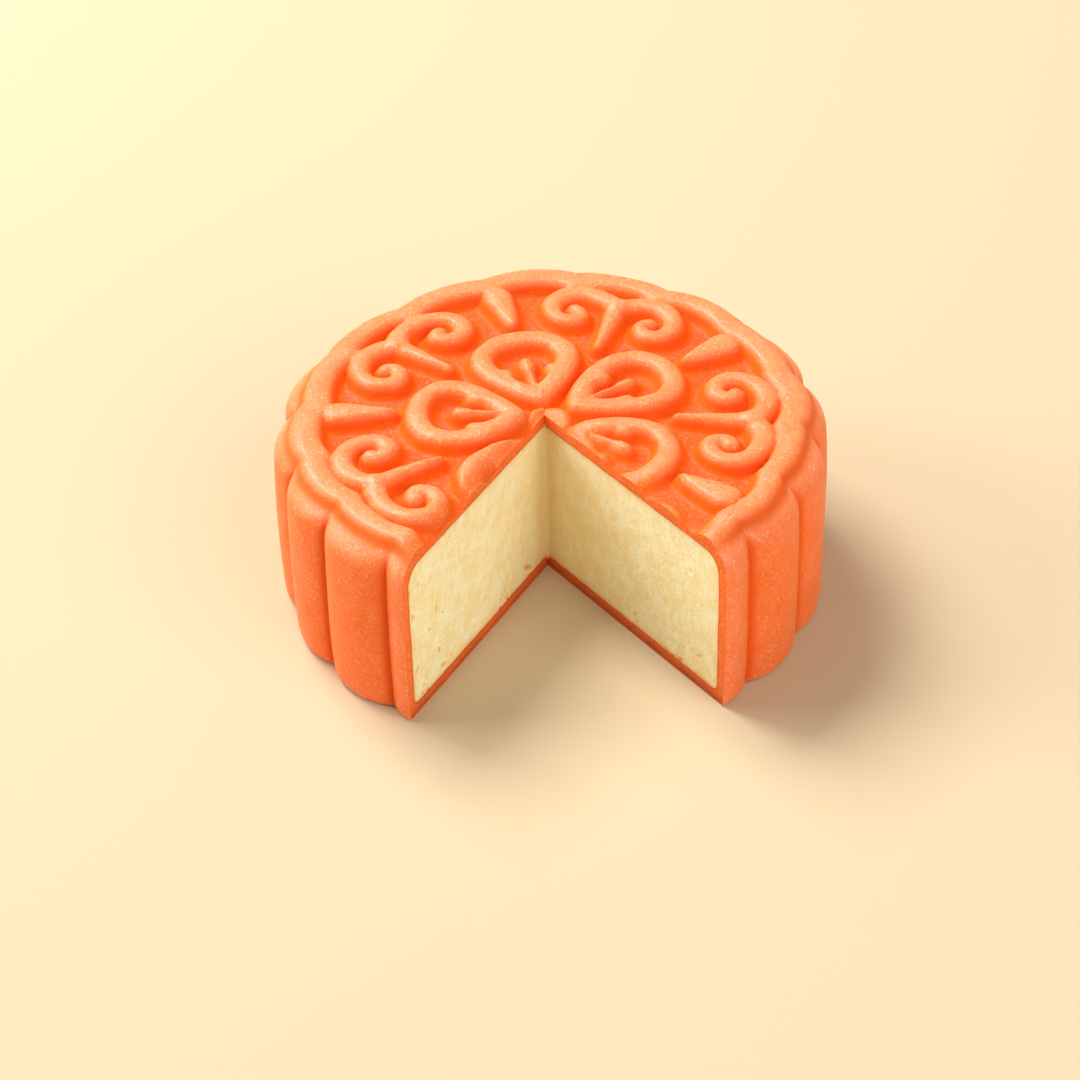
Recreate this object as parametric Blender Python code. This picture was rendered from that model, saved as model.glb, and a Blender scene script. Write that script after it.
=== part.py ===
"""A snow skin mooncake with one slice cut out, as a soft fluted skin pressed round a pale filling.

Units are metres and +Z is up. The cake lies on its flat base at z = 0 with the missing slice towards -Y,
and the middle of its bounding box stands on the Z axis. The skin is one closed shell: base, fluted wall,
rounded shoulder and a top pressed with a blossom, cloud scrolls and buds inside a ribbon ring. The filling
is one solid inside it that shows at both cut faces.
"""

import math

import bmesh
import bpy
import numpy as np

# Cake body
CAKE_RADIUS = 0.0325          # over the crests of the flutes
CAKE_HEIGHT = 0.0238          # to the crests of the strokes, and a little more where strokes cross
FLUTES = 17
FLUTE_DEPTH = 0.00135
FLUTE_POWER = 2.4             # 2 gives a round flute, more a flatter one with a sharper groove
FLUTE_DRIFT = 0.09            # flutes are this share wider at the back and narrower at the slice
FLUTE_PHASE = 0.575           # where the grooves fall, as a share of one flute
FLUTE_SPREAD = 0.095          # the grooves beside the slice stand this share of a flute further from it
SPREAD_TURNS = (math.radians(100.0), math.radians(140.0))    # the spread grows between these turns
SHOULDER_WIDTH = 0.0038
SHOULDER_DROP = 0.0029
BASE_ROUNDING = 0.0012

# Missing slice, seen from above: its point lies a little off the middle of the cake
SLICE_HALF_ANGLE = math.radians(34.2)
SLICE_POINT = (-0.0007, 0.0009)

# Skin and filling
SKIN_THICKNESS = 0.0019
SKIN_UNDER_FIELD = 0.0010
SKIN_BASE = 0.0014
GROOVE_THINNING = 0.2         # share of the groove depth that the skin loses at a groove
FILLING_GAP = 0.0003
FILLING_SHOULDER = 0.0026

# Pressed pattern
STROKE_HEIGHT = 0.0019        # crest of a stroke over the sunken field
FIELD_DEPTH = 0.0005          # sunken field below the rim
STROKE_EDGE = 0.0010          # how far in from its side a stroke reaches full height
STROKE_FOOT = 0.00012         # softness of the fold where a stroke meets the field
STROKE_BLEND = 8.0            # higher keeps crossing strokes crisper
PATH_STEP = 0.0003
PATTERN_FOLD = 5
PATTERN_TURN = math.radians(12.0)
PATTERN_SWAY = 0.0003         # how far the hand-cut pattern wanders from its true lines
RING_RADIUS = 0.0282
RING_DIP = 0.0008             # the ribbon ring dips in behind each groove
RING_HALF_WIDTH = 0.0019
FIELD_RADIUS = 0.0266
RIM_RISE = 0.0018
PETAL_INNER = 0.0042
PETAL_OUTER = 0.0158
PETAL_HALF_SPAN = 0.0062
PETAL_HALF_WIDTH = 0.00165
STAMEN_INNER = 0.0062
STAMEN_OUTER = 0.0108
STAMEN_SPREAD = math.radians(17.0)
STAMEN_HALF_WIDTH = 0.00080
STAMEN_TIP = 0.00120
BOSS_RADIUS = 0.0026
CLOUD_RADIUS = 0.0204
CLOUD_HALF_SPAN = 0.0050
CLOUD_START = math.radians(150.0)
CLOUD_SWEEP = math.radians(400.0)
CLOUD_WINDING = 2.1           # how fast a curl closes in on its eye
CLOUD_HALF_WIDTH = 0.00165
TAIL_INNER = 0.0150
BUD_INNER = 0.0186
BUD_OUTER = 0.0248
BUD_HALF_WIDTH = 0.0022

# Levels of the top that follow from the sizes above
RIM_HEIGHT = CAKE_HEIGHT - (STROKE_HEIGHT - FIELD_DEPTH)
FIELD_HEIGHT = RIM_HEIGHT - FIELD_DEPTH

# Mesh fineness
SKIN_RAYS_PER_FLUTE = 24
FILLING_RAYS_PER_FLUTE = 6
TOP_ROWS = 60
SHOULDER_ROWS = 9
WALL_ROWS = 5
CORNER_ROWS = 4
SKIN_KEEP = 0.135             # share of the faces that the skin keeps once flat runs are joined
FILLING_ROUND_ROWS = 6
SMOOTH_ANGLE = math.radians(40.0)


def smoothstep(low, high, value):
    """Return 0 below low, 1 above high and a smooth rise between."""
    t = np.clip((value - low) / (high - low), 0.0, 1.0)
    return t * t * (3.0 - 2.0 * t)


# ---- outline ------------------------------------------------------------------------------------

def flute_place(turn):
    """Flutes passed at an angle measured from the back: a whole number in each groove."""
    spread = FLUTE_SPREAD * np.sign(turn) * smoothstep(*SPREAD_TURNS, np.abs(turn))
    return FLUTES * (turn - FLUTE_DRIFT * np.sin(turn)) / (2.0 * math.pi) - FLUTE_PHASE + spread


def flute_drop(turn):
    """Depth below the crests at an angle measured from the back: 0 on a crest, full in a groove."""
    place = flute_place(turn)
    across = 2.0 * (place - np.round(place - 0.5)) - 1.0
    return FLUTE_DEPTH * np.abs(across) ** FLUTE_POWER


def cut_turns(per_flute):
    """Angles from one cut face, round the back, to the other, with one on each groove."""
    reach = math.pi - SLICE_HALF_ANGLE
    dense = np.linspace(-reach, reach, 6001)
    place = flute_place(dense) * per_flute
    steps = np.arange(math.ceil(place[0] + 0.3), math.floor(place[-1] - 0.3) + 1)
    return np.concatenate([[-reach], np.interp(steps, place, dense), [reach]])


def heading(turn):
    """Unit vectors in plan for angles measured from +Y towards -X."""
    return np.stack([-np.sin(turn), np.cos(turn)], axis=-1)


def rays(per_flute):
    """Ends of the rays on the crest circle, and how far the flute lies inside each."""
    turn = cut_turns(per_flute)
    return heading(turn) * CAKE_RADIUS, flute_drop(turn)


def ray_lengths(outline):
    """Length of each ray, from the slice's point to the crest circle."""
    return np.linalg.norm(outline - np.array(SLICE_POINT), axis=-1)


def on_rays(outline, inset):
    """Points on the rays at an inset from the crest circle towards the slice's point."""
    point = np.array(SLICE_POINT)
    share = 1.0 - inset / ray_lengths(outline)
    return point + share[..., None] * (outline - point)


# ---- pressed pattern ----------------------------------------------------------------------------

def resample(points, widths):
    """Space a path's points evenly at PATH_STEP and carry the half widths along."""
    run = np.concatenate([[0.0], np.cumsum(np.linalg.norm(np.diff(points, axis=0), axis=1))])
    even = np.linspace(0.0, run[-1], max(3, int(run[-1] / PATH_STEP) + 1))
    x = np.interp(even, run, points[:, 0])
    y = np.interp(even, run, points[:, 1])
    return np.stack([x, y], axis=1), np.interp(even, run, widths)


def petal():
    """Closed teardrop along +Y, narrow at the boss and widest near its round end."""
    t = np.linspace(0.0, 2.0 * math.pi, 90)
    out = (1.0 - np.cos(t)) / 2.0
    points = np.stack([PETAL_HALF_SPAN * np.sin(t) * out ** 0.45,
                       PETAL_INNER + (PETAL_OUTER - PETAL_INNER) * out], axis=1)
    return points, np.full(len(t), PETAL_HALF_WIDTH)


def stamen(turn, outer):
    """Thin straight stroke inside a petal with a bead at its end."""
    t = np.linspace(0.0, 1.0, 20)
    away = STAMEN_INNER + (outer - STAMEN_INNER) * t
    points = np.stack([-math.sin(turn) * away, math.cos(turn) * away], axis=1)
    bead = smoothstep(0.55, 0.9, t)
    return points, STAMEN_HALF_WIDTH + (STAMEN_TIP - STAMEN_HALF_WIDTH) * bead


def cloud_curl(side):
    """One curl of a cloud scroll: a spiral from the scroll's peak round its eye, closing in evenly."""
    t = np.linspace(0.0, 1.0, 80)
    angle = CLOUD_START - CLOUD_SWEEP * t
    curl = CLOUD_HALF_SPAN / abs(math.cos(CLOUD_START)) * np.exp(-CLOUD_WINDING * t)
    points = np.stack([side * (CLOUD_HALF_SPAN + curl * np.cos(angle)),
                       CLOUD_RADIUS + curl * np.sin(angle)], axis=1)
    return points, CLOUD_HALF_WIDTH * (1.0 - 0.2 * t)


def cloud_tail():
    """Stroke from the peak where two curls meet, tapering in between two petals."""
    peak = CLOUD_RADIUS + CLOUD_HALF_SPAN * math.tan(math.pi - CLOUD_START)
    t = np.linspace(0.0, 1.0, 20)
    points = np.stack([np.zeros_like(t), peak + (TAIL_INNER - peak) * t], axis=1)
    return points, CLOUD_HALF_WIDTH * (1.0 - 0.5 * t)


def bud():
    """Solid teardrop between two cloud scrolls, pointed towards the blossom."""
    t = np.linspace(0.0, 1.0, 20)
    points = np.stack([np.zeros_like(t), BUD_INNER + (BUD_OUTER - BUD_INNER) * t], axis=1)
    return points, BUD_HALF_WIDTH * (0.3 + 0.7 * t ** 0.6)


def ring():
    """Ribbon along the rim that dips in behind each groove of the wall."""
    t = np.linspace(-math.pi, math.pi, 721)
    radius = RING_RADIUS - RING_DIP * flute_drop(t) / FLUTE_DEPTH
    return heading(t) * radius[:, None], RING_HALF_WIDTH * (1.0 + 0.08 * np.sin(4.0 * t + 1.0))


def boss():
    """Round button in the middle of the blossom."""
    return np.array([[-0.0001, 0.0], [0.0, 0.0], [0.0001, 0.0]]), np.full(3, BOSS_RADIUS)


def turned(path, turn):
    """Turn a path about the middle of the cake."""
    points, widths = path
    c, s = math.cos(turn), math.sin(turn)
    return points @ np.array([[c, s], [-s, c]]), widths


def pattern_paths():
    """All strokes of the pressed pattern, as evenly spaced points with half widths."""
    paths = [ring(), boss()]
    for number in range(PATTERN_FOLD):
        turn = PATTERN_TURN + 2.0 * math.pi * number / PATTERN_FOLD
        between = turn + math.pi / PATTERN_FOLD
        paths.append(turned(petal(), turn))
        paths.append(turned(bud(), turn))
        paths.append(turned(cloud_tail(), between))
        for side in (-1.0, 0.0, 1.0):
            outer = STAMEN_OUTER * (1.0 - 0.12 * abs(side))
            paths.append(turned(stamen(side * STAMEN_SPREAD, outer), turn))
        for side in (-1.0, 1.0):
            paths.append(turned(cloud_curl(side), between))
    return [resample(points, widths) for points, widths in paths]


def stroke_rise(x, y, points, widths):
    """Height of one stroke over the field.

    The depth inside a stroke is its half width less the distance to the nearest piece of its path. The
    stroke is a quarter ellipse from its side to STROKE_EDGE in, with a soft fold at its foot.
    """
    reach = widths.max() + 10.0 * STROKE_FOOT
    near = ((x > points[:, 0].min() - reach) & (x < points[:, 0].max() + reach)
            & (y > points[:, 1].min() - reach) & (y < points[:, 1].max() + reach))
    away = np.stack([x[near], y[near]], axis=-1)[:, None, :] - points[:-1]
    step = np.diff(points, axis=0)
    along = np.clip((away * step).sum(axis=-1) / (step * step).sum(axis=-1), 0.0, 1.0)
    across = np.linalg.norm(away - along[..., None] * step, axis=-1)
    inside = np.full(x.shape, -1.0)
    inside[near] = (widths[:-1] + np.diff(widths) * along - across).max(axis=1)
    soft = STROKE_FOOT * np.logaddexp(0.0, inside / STROKE_FOOT)
    share = np.minimum(soft / STROKE_EDGE, 1.0)
    return STROKE_HEIGHT * np.sqrt(1.0 - (1.0 - share) ** 2)


def pattern_rise(x, y):
    """Height of the whole pattern over the field: a power sum that blends strokes where they meet."""
    sway_x = x + PATTERN_SWAY * np.sin(260.0 * y + 140.0 * x + 0.4)
    sway_y = y + PATTERN_SWAY * np.sin(240.0 * x - 120.0 * y + 1.9)
    total = np.zeros(x.shape)
    for points, widths in pattern_paths():
        total += stroke_rise(sway_x, sway_y, points, widths) ** STROKE_BLEND
    return total ** (1.0 / STROKE_BLEND)


def top_height(plan, shoulder_z):
    """Height of the top: the shoulder's level, less the sunken field, plus the pattern."""
    away = np.linalg.norm(plan, axis=-1)
    rim = smoothstep(FIELD_RADIUS, FIELD_RADIUS + RIM_RISE, away)
    rise = pattern_rise(plan[..., 0], plan[..., 1])
    over_rim = 1.0 - rim * FIELD_DEPTH / STROKE_HEIGHT
    return shoulder_z - FIELD_DEPTH * (1.0 - rim) + rise * over_rim


# ---- skin ---------------------------------------------------------------------------------------

def outer_rows():
    """Outside of the skin as rows of plan points and heights, from the middle of the top to the base.

    Each row is an inset from the crest circle along the rays. On the shoulder the inset follows a quarter
    ellipse from the rim to the flute, so the grooves fade out as they reach the top.
    """
    outline, drop = rays(SKIN_RAYS_PER_FLUTE)
    length = ray_lengths(outline)
    insets = [length + (SHOULDER_WIDTH - length) * share for share in np.linspace(0.0, 1.0, TOP_ROWS)]
    levels = [RIM_HEIGHT] * TOP_ROWS
    for angle in np.linspace(0.0, math.pi / 2.0, SHOULDER_ROWS)[1:]:
        insets.append(SHOULDER_WIDTH + (drop - SHOULDER_WIDTH) * math.sin(angle))
        levels.append(RIM_HEIGHT - SHOULDER_DROP * (1.0 - math.cos(angle)))
    plan = on_rays(outline, np.array(insets))
    level = np.repeat(np.array(levels)[:, None], len(outline), axis=1)
    rows = list(zip(plan, top_height(plan, level)))
    wall_top = RIM_HEIGHT - SHOULDER_DROP
    for share in np.linspace(0.0, 1.0, WALL_ROWS)[1:]:
        height = wall_top + (BASE_ROUNDING - wall_top) * share
        rows.append((on_rays(outline, drop), np.full(len(outline), height)))
    for angle in np.linspace(0.0, math.pi / 2.0, CORNER_ROWS)[1:]:
        inset = drop + BASE_ROUNDING * (1.0 - math.cos(angle))
        height = BASE_ROUNDING * (1.0 - math.sin(angle))
        rows.append((on_rays(outline, inset), np.full(len(outline), height)))
    rows.append((on_rays(outline, length), np.zeros(len(outline))))
    return rows


def inner_rows(per_flute, gap, round_rows):
    """Inside of the skin, or the filling's outside at a gap from it, from the base to the top."""
    outline, drop = rays(per_flute)
    columns = len(outline)
    length = ray_lengths(outline)
    wall = SKIN_THICKNESS + gap + (1.0 - GROOVE_THINNING) * drop
    low = SKIN_BASE + gap
    high = FIELD_HEIGHT - SKIN_UNDER_FIELD - gap
    corner = BASE_ROUNDING
    rows = [(on_rays(outline, length), np.full(columns, low))]
    for angle in np.linspace(0.0, math.pi / 2.0, round_rows):
        plan = on_rays(outline, wall + corner * (1.0 - math.sin(angle)))
        rows.append((plan, np.full(columns, low + corner * (1.0 - math.cos(angle)))))
    for angle in np.linspace(0.0, math.pi / 2.0, round_rows):
        plan = on_rays(outline, wall + FILLING_SHOULDER * (1.0 - math.cos(angle)))
        rows.append((plan, np.full(columns, high - FILLING_SHOULDER * (1.0 - math.sin(angle)))))
    rows.append((on_rays(outline, length), np.full(columns, high)))
    return rows


def sector_mesh(name, rows):
    """Closed mesh from rows of points that run round a section, with both cut faces filled.

    Neighbouring rows are joined by quads, the last row to the first. At the slice's point the end
    columns and the poles fall together, and merging them closes the body.
    """
    grid = np.array([np.column_stack([plan, level]) for plan, level in rows])
    count, columns = grid.shape[:2]
    index = np.arange(count * columns).reshape(count, columns)
    below = np.roll(index, -1, axis=0)
    quads = np.stack([index[:, :-1], below[:, :-1], below[:, 1:], index[:, 1:]], axis=-1).reshape(-1, 4)
    mesh = bpy.data.meshes.new(name)
    faces = quads.tolist() + [index[::-1, 0].tolist(), index[:, -1].tolist()]
    mesh.from_pydata(grid.reshape(-1, 3).tolist(), [], faces)
    work = bmesh.new()
    work.from_mesh(mesh)
    bmesh.ops.remove_doubles(work, verts=work.verts, dist=1e-6)
    bmesh.ops.triangulate(work, faces=work.faces)
    bmesh.ops.recalc_face_normals(work, faces=work.faces)
    work.to_mesh(mesh)
    work.free()
    return mesh


def centred(mesh):
    """Shift a mesh so that the cake's box, with the slice missing, has its middle on the Z axis."""
    outline, drop = rays(SKIN_RAYS_PER_FLUTE)
    edge = on_rays(outline, drop)
    middle = (edge.max(axis=0) + edge.min(axis=0)) / 2.0
    points = np.empty(len(mesh.vertices) * 3)
    mesh.vertices.foreach_get("co", points)
    points = points.reshape(-1, 3)
    points[:, :2] -= middle
    mesh.vertices.foreach_set("co", points.ravel())
    mesh.update()
    return mesh


def dough(name, color, roughness):
    """Matt food surface of one colour."""
    material = bpy.data.materials.new(name)
    material.use_nodes = True
    shader = material.node_tree.nodes["Principled BSDF"]
    shader.inputs["Base Color"].default_value = (*color, 1.0)
    shader.inputs["Roughness"].default_value = roughness
    shader.inputs["Metallic"].default_value = 0.0
    return material


def add_object(name, mesh, material):
    """Put a mesh in the scene as a node with its own material, shaded smooth but for its edges."""
    mesh.materials.append(material)
    mesh.shade_smooth()
    mesh.set_sharp_from_angle(angle=SMOOTH_ANGLE)
    item = bpy.data.objects.new(name, mesh)
    bpy.context.scene.collection.objects.link(item)
    return item


def add_skin():
    """Fluted skin: the outside rows, then the inside rows, closed at both cut faces."""
    rows = outer_rows() + inner_rows(SKIN_RAYS_PER_FLUTE, 0.0, 3)
    skin = add_object("skin", centred(sector_mesh("skin", rows)),
                      dough("orange_dough", (0.90, 0.27, 0.10), 0.5))
    join = skin.modifiers.new("join_flat_runs", "DECIMATE")
    join.decimate_type = "COLLAPSE"
    join.ratio = SKIN_KEEP


def add_filling():
    """Pale filling inside the skin, open to view at both cut faces."""
    rows = inner_rows(FILLING_RAYS_PER_FLUTE, FILLING_GAP, FILLING_ROUND_ROWS)
    add_object("filling", centred(sector_mesh("filling", rows)),
               dough("pale_bean_paste", (0.85, 0.70, 0.35), 0.75))


def main():
    """Clear the scene and build the cake."""
    for item in list(bpy.data.objects):
        bpy.data.objects.remove(item)
    add_skin()
    add_filling()


main()
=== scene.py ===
"""Looks of a snow skin mooncake with one slice cut out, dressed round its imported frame.

Two pieces stand for the two nodes of the frame. The skin is a closed shell: a pressed top, a soft shoulder,
a fluted wall, a base, an inside that holds the filling, and a band of cut dough that joins outside and inside
along the slice. The filling is a closed body whose two cut faces carry the upright drag marks, pits and tears
that a knife leaves in a soft paste.

Units are metres, +Z is up and the missing slice opens towards -Y, as in the frame.
"""

import logging
import math
from collections.abc import Sequence
from dataclasses import dataclass, field, replace
from enum import Enum
from typing import Any

import bpy
import numpy as np
from mathutils import Matrix, Vector


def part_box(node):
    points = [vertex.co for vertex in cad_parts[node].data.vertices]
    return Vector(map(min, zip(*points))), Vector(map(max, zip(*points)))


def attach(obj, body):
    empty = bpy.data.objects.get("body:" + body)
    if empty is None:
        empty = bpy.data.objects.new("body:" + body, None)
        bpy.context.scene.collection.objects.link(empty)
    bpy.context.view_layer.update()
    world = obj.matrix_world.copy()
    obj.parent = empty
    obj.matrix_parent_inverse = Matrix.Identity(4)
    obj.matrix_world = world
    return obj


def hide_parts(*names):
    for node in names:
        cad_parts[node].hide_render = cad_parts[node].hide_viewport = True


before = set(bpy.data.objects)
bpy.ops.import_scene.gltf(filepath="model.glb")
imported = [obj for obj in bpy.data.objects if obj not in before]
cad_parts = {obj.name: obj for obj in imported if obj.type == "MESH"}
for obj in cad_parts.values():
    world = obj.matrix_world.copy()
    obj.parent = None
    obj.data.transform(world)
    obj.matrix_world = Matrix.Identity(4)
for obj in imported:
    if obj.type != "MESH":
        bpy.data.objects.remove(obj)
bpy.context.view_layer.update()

log = logging.getLogger("mooncake")

MM = 0.001                              # one millimetre, in metres
QUARTER_TURN = math.pi / 2.0
FULL_TURN = 2.0 * math.pi
SHARP_ANGLE = math.radians(50.0)        # edges that turn more than this are kept sharp
POINTS_AT_ONCE = 4000                   # points that are set against a whole stroke together
HASH_PRIMES = (73856093, 19349663, 83492791)
HASH_SEED_PRIME = 50331653
HASH_MIX = 1274126177
SKIN_NODE = "skin"
FILLING_NODE = "filling"
BODY = "root"

Array = np.ndarray
Path = tuple[Array, Array]              # points in plan and the half width at each
Socket = bpy.types.NodeSocket
Color = tuple[float, float, float]


# ---- numbers

def smoothstep(low: float, high: float, value: Array) -> Array:
    """Rise smoothly from 0 to 1.

    Args:
        low: Value at which the rise starts.
        high: Value at which it is complete.
        value: Values to map.

    Returns:
        3t^2 - 2t^3, where t is the share of the way from low to high, kept between 0 and 1.
    """
    t = np.clip((value - low) / (high - low), 0.0, 1.0)
    return t * t * (3.0 - 2.0 * t)


def bell(value: Array, width: float) -> Array:
    """1 at zero, falling away on both sides as exp(-(value / width)^2)."""
    return np.exp(-(value / width) ** 2)


def lattice_noise(points: Array, size: float, seed: int) -> Array:
    """Smooth noise between -1 and 1.

    A hashed number stands on each corner of a cubic lattice, and a point takes the mean of the eight corners
    of its cell, weighted by the fade 6t^5 - 15t^4 + 10t^3 along each axis.

    Args:
        points: Places, with x, y and z along the last axis.
        size: Edge of a lattice cell.
        seed: Picks another set of numbers.

    Returns:
        One value for each point.
    """
    place = points / size
    cell = np.floor(place).astype(np.int64)
    part = place - cell
    fade = part ** 3 * (part * (part * 6.0 - 15.0) + 10.0)
    total = np.zeros(points.shape[:-1])
    for corner in np.ndindex(2, 2, 2):
        at = cell + np.array(corner)
        key = np.bitwise_xor.reduce(at * HASH_PRIMES, axis=-1) ^ (seed * HASH_SEED_PRIME)
        key = (key ^ (key >> 13)) * HASH_MIX
        value = ((key ^ (key >> 16)) & 0xFFFF) / 32767.5 - 1.0
        total += value * np.prod(np.where(corner, fade, 1.0 - fade), axis=-1)
    return total


class Unevenness(Enum):
    """Noises on the dough and the paste: the size of the largest features, the seed and the octaves."""

    LUMPS = (5.0 * MM, 3, 3)
    RIPPLES = (1.3 * MM, 11, 3)
    PRESSING = (6.0 * MM, 29, 3)
    INSIDE = (2.2 * MM, 41, 3)
    STROKE_SIDES = (1.6 * MM, 53, 2)
    CRUMB = (0.9 * MM, 5, 3)
    DRAG = (1.1 * MM, 17, 3)
    WAVES = (6.0 * MM, 23, 3)
    TEAR_ASIDE = (0.6 * MM, 61, 3)
    TEAR_UPRIGHT = (0.6 * MM, 67, 3)

    def at(self, points: Array) -> Array:
        """Sum of lattice noises, each half the size and strength of the one before, within -1 to 1."""
        size, seed, octaves = self.value
        total = sum(lattice_noise(points, size / 2 ** n, seed + n) / 2 ** n for n in range(octaves))
        return total / (2.0 - 2.0 ** (1 - octaves))


def lifted(plan: Array, level: Array | float) -> Array:
    """Points in space: plan points with a level for each or one for all."""
    return np.concatenate([plan, np.broadcast_to(level, plan.shape[:-1])[..., None]], axis=-1)


def add_object(name: str, data: bpy.types.ID) -> bpy.types.Object:
    """Add an object that shows the given mesh, light or camera."""
    thing = bpy.data.objects.new(name, data)
    bpy.context.scene.collection.objects.link(thing)
    return thing


# ---- form of the cake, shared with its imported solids

@dataclass(frozen=True)
class CakeForm:
    """Outline, levels and cut of the cake.

    A turn is an angle from the back, measured from +Y towards -X. Every surface hangs on rays that run from
    the slice's point to the circle over the crests of the flutes, and a place on a ray is given by its
    inset from that circle.
    """

    radius: float = 0.0325  # over the crests of the flutes
    height: float = 0.0238  # to the crests of the strokes
    flutes: int = 17
    flute_depth: float = 0.00135
    flute_power: float = 2.4  # 2 gives a round flute, more a flatter one
    flute_drift: float = 0.09  # flutes are wider at the back by this share
    flute_phase: float = 0.575  # where the grooves fall, in flutes
    flute_spread: float = 0.095  # how far the grooves beside the slice stand off, in flutes
    spread_turns: tuple[float, float] = (math.radians(100.0), math.radians(140.0))
    shoulder_width: float = 0.0038
    shoulder_drop: float = 0.0029
    base_rounding: float = 0.0012
    slice_half_angle: float = math.radians(34.2)
    slice_point: tuple[float, float] = (-0.0007, 0.0009)
    skin_thickness: float = 0.0019
    skin_under_field: float = 0.0010
    skin_base: float = 0.0014
    groove_thinning: float = 0.2  # share of a groove's depth that the skin loses there
    filling_shoulder: float = 0.0026
    stroke_height: float = 0.0019  # over the sunken field
    field_depth: float = 0.0005  # below the rim
    field_radius: float = 0.0266
    rim_rise: float = 0.0018  # the field rises to the rim over this width

    @property
    def reach(self) -> float:
        """Turn from the back to either cut face."""
        return math.pi - self.slice_half_angle

    @property
    def rim_height(self) -> float:
        """Level of the top between the strokes at the rim."""
        return self.height - (self.stroke_height - self.field_depth)

    @property
    def field_height(self) -> float:
        """Level of the sunken field."""
        return self.rim_height - self.field_depth

    @property
    def wall_top(self) -> float:
        """Level at which the shoulder turns into the wall."""
        return self.rim_height - self.shoulder_drop

    @property
    def inside_high(self) -> float:
        """Level of the skin's inside under the top."""
        return self.field_height - self.skin_under_field

    def flute_place(self, turn: Array) -> Array:
        """Flutes passed at a turn, a whole number in each groove.

        Flutes grow wider towards the back, and the grooves beside the slice are spread away from it.
        """
        spread = self.flute_spread * np.sign(turn) * smoothstep(*self.spread_turns, np.abs(turn))
        drifted = turn - self.flute_drift * np.sin(turn)
        return self.flutes * drifted / FULL_TURN - self.flute_phase + spread

    def groove_distance(self, turn: Array) -> Array:
        """Distance along the wall to the nearest groove."""
        place = self.flute_place(turn)
        return np.abs(place - np.round(place)) * FULL_TURN * self.radius / self.flutes

    def flute_drop(self, turn: Array) -> Array:
        """Depth below the crests: the flute's depth times |t|^power, where t runs from -1 to 1 across it."""
        place = self.flute_place(turn)
        across = 2.0 * (place - np.round(place - 0.5)) - 1.0
        return self.flute_depth * np.abs(across) ** self.flute_power

    def turns(self, steps_per_flute: int, multiple: int) -> Array:
        """Turns from one cut face, round the back, to the other, with one on each groove.

        Args:
            steps_per_flute: Steps on a whole flute.
            multiple: Each stretch between two grooves takes a multiple of this many steps.

        Returns:
            Rising angles, evenly spaced in flutes between two grooves.
        """
        dense = np.linspace(-self.reach, self.reach, 6001)
        place = self.flute_place(dense)
        margin = 0.1            # a groove this near a cut, in flutes, gets no column of its own
        grooves = np.arange(math.ceil(place[0] + margin), math.floor(place[-1] - margin) + 1)
        knots = np.concatenate([[place[0]], grooves, [place[-1]]])
        counts = np.maximum(1, np.round(np.diff(knots) * steps_per_flute / multiple)).astype(int) * multiple
        runs = [np.linspace(a, b, n, endpoint=False) for a, b, n in zip(knots[:-1], knots[1:], counts)]
        return np.interp(np.concatenate(runs + [knots[-1:]]), place, dense)

    def crest_circle(self, turn: Array) -> Array:
        """Plan points on the circle over the crests."""
        return self.radius * np.stack([-np.sin(turn), np.cos(turn)], axis=-1)

    def ray_length(self, turn: Array) -> Array:
        """Length of each ray, from the slice's point to the crest circle."""
        return np.linalg.norm(self.crest_circle(turn) - np.array(self.slice_point), axis=-1)

    def on_rays(self, turn: Array, inset: Array) -> Array:
        """Plan points on the rays: the slice's point plus (1 - inset / length) of the way to the circle."""
        point = np.array(self.slice_point)
        share = 1.0 - inset / self.ray_length(turn)
        return point + share[..., None] * (self.crest_circle(turn) - point)

    def cut_headings(self) -> tuple[Array, Array]:
        """Unit vectors in plan from the slice's point along the cut faces, at the first and the last turn."""
        ends = self.crest_circle(np.array([-self.reach, self.reach])) - np.array(self.slice_point)
        ends /= np.linalg.norm(ends, axis=-1, keepdims=True)
        return ends[0], ends[1]

    def cut_distance(self, plan: Array) -> Array:
        """Distance in plan to the nearer cut face, or to the slice's point from behind it."""
        away = plan - np.array(self.slice_point)
        nearest = np.linalg.norm(away, axis=-1)
        for heading in self.cut_headings():
            aside = np.abs(away[..., 0] * heading[1] - away[..., 1] * heading[0])
            nearest = np.where(away @ heading > 0.0, np.minimum(nearest, aside), nearest)
        return nearest

    def skin_inset(self, turn: Array) -> Array:
        """Inset of the skin's inside on the wall: the skin grows a little thinner at a groove."""
        return self.skin_thickness + (1.0 - self.groove_thinning) * self.flute_drop(turn)


@dataclass(frozen=True)
class Placement:
    """Where the cake's own axis and base stand in the frame."""

    shift: tuple[float, float, float]

    @classmethod
    def of(cls, form: CakeForm) -> "Placement":
        """Set the middle of the cake's outline on the middle of the skin node's box, and its base on it."""
        low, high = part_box(SKIN_NODE)
        turn = form.turns(24, 1)
        edge = form.on_rays(turn, form.flute_drop(turn))
        middle = (edge.max(axis=0) + edge.min(axis=0)) / 2.0
        return cls(((low.x + high.x) / 2.0 - middle[0], (low.y + high.y) / 2.0 - middle[1], low.z))

    def put(self, points: Array) -> Array:
        """Move points from the cake's own axis to the frame."""
        return points + np.array(self.shift)


# ---- pressed pattern

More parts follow.
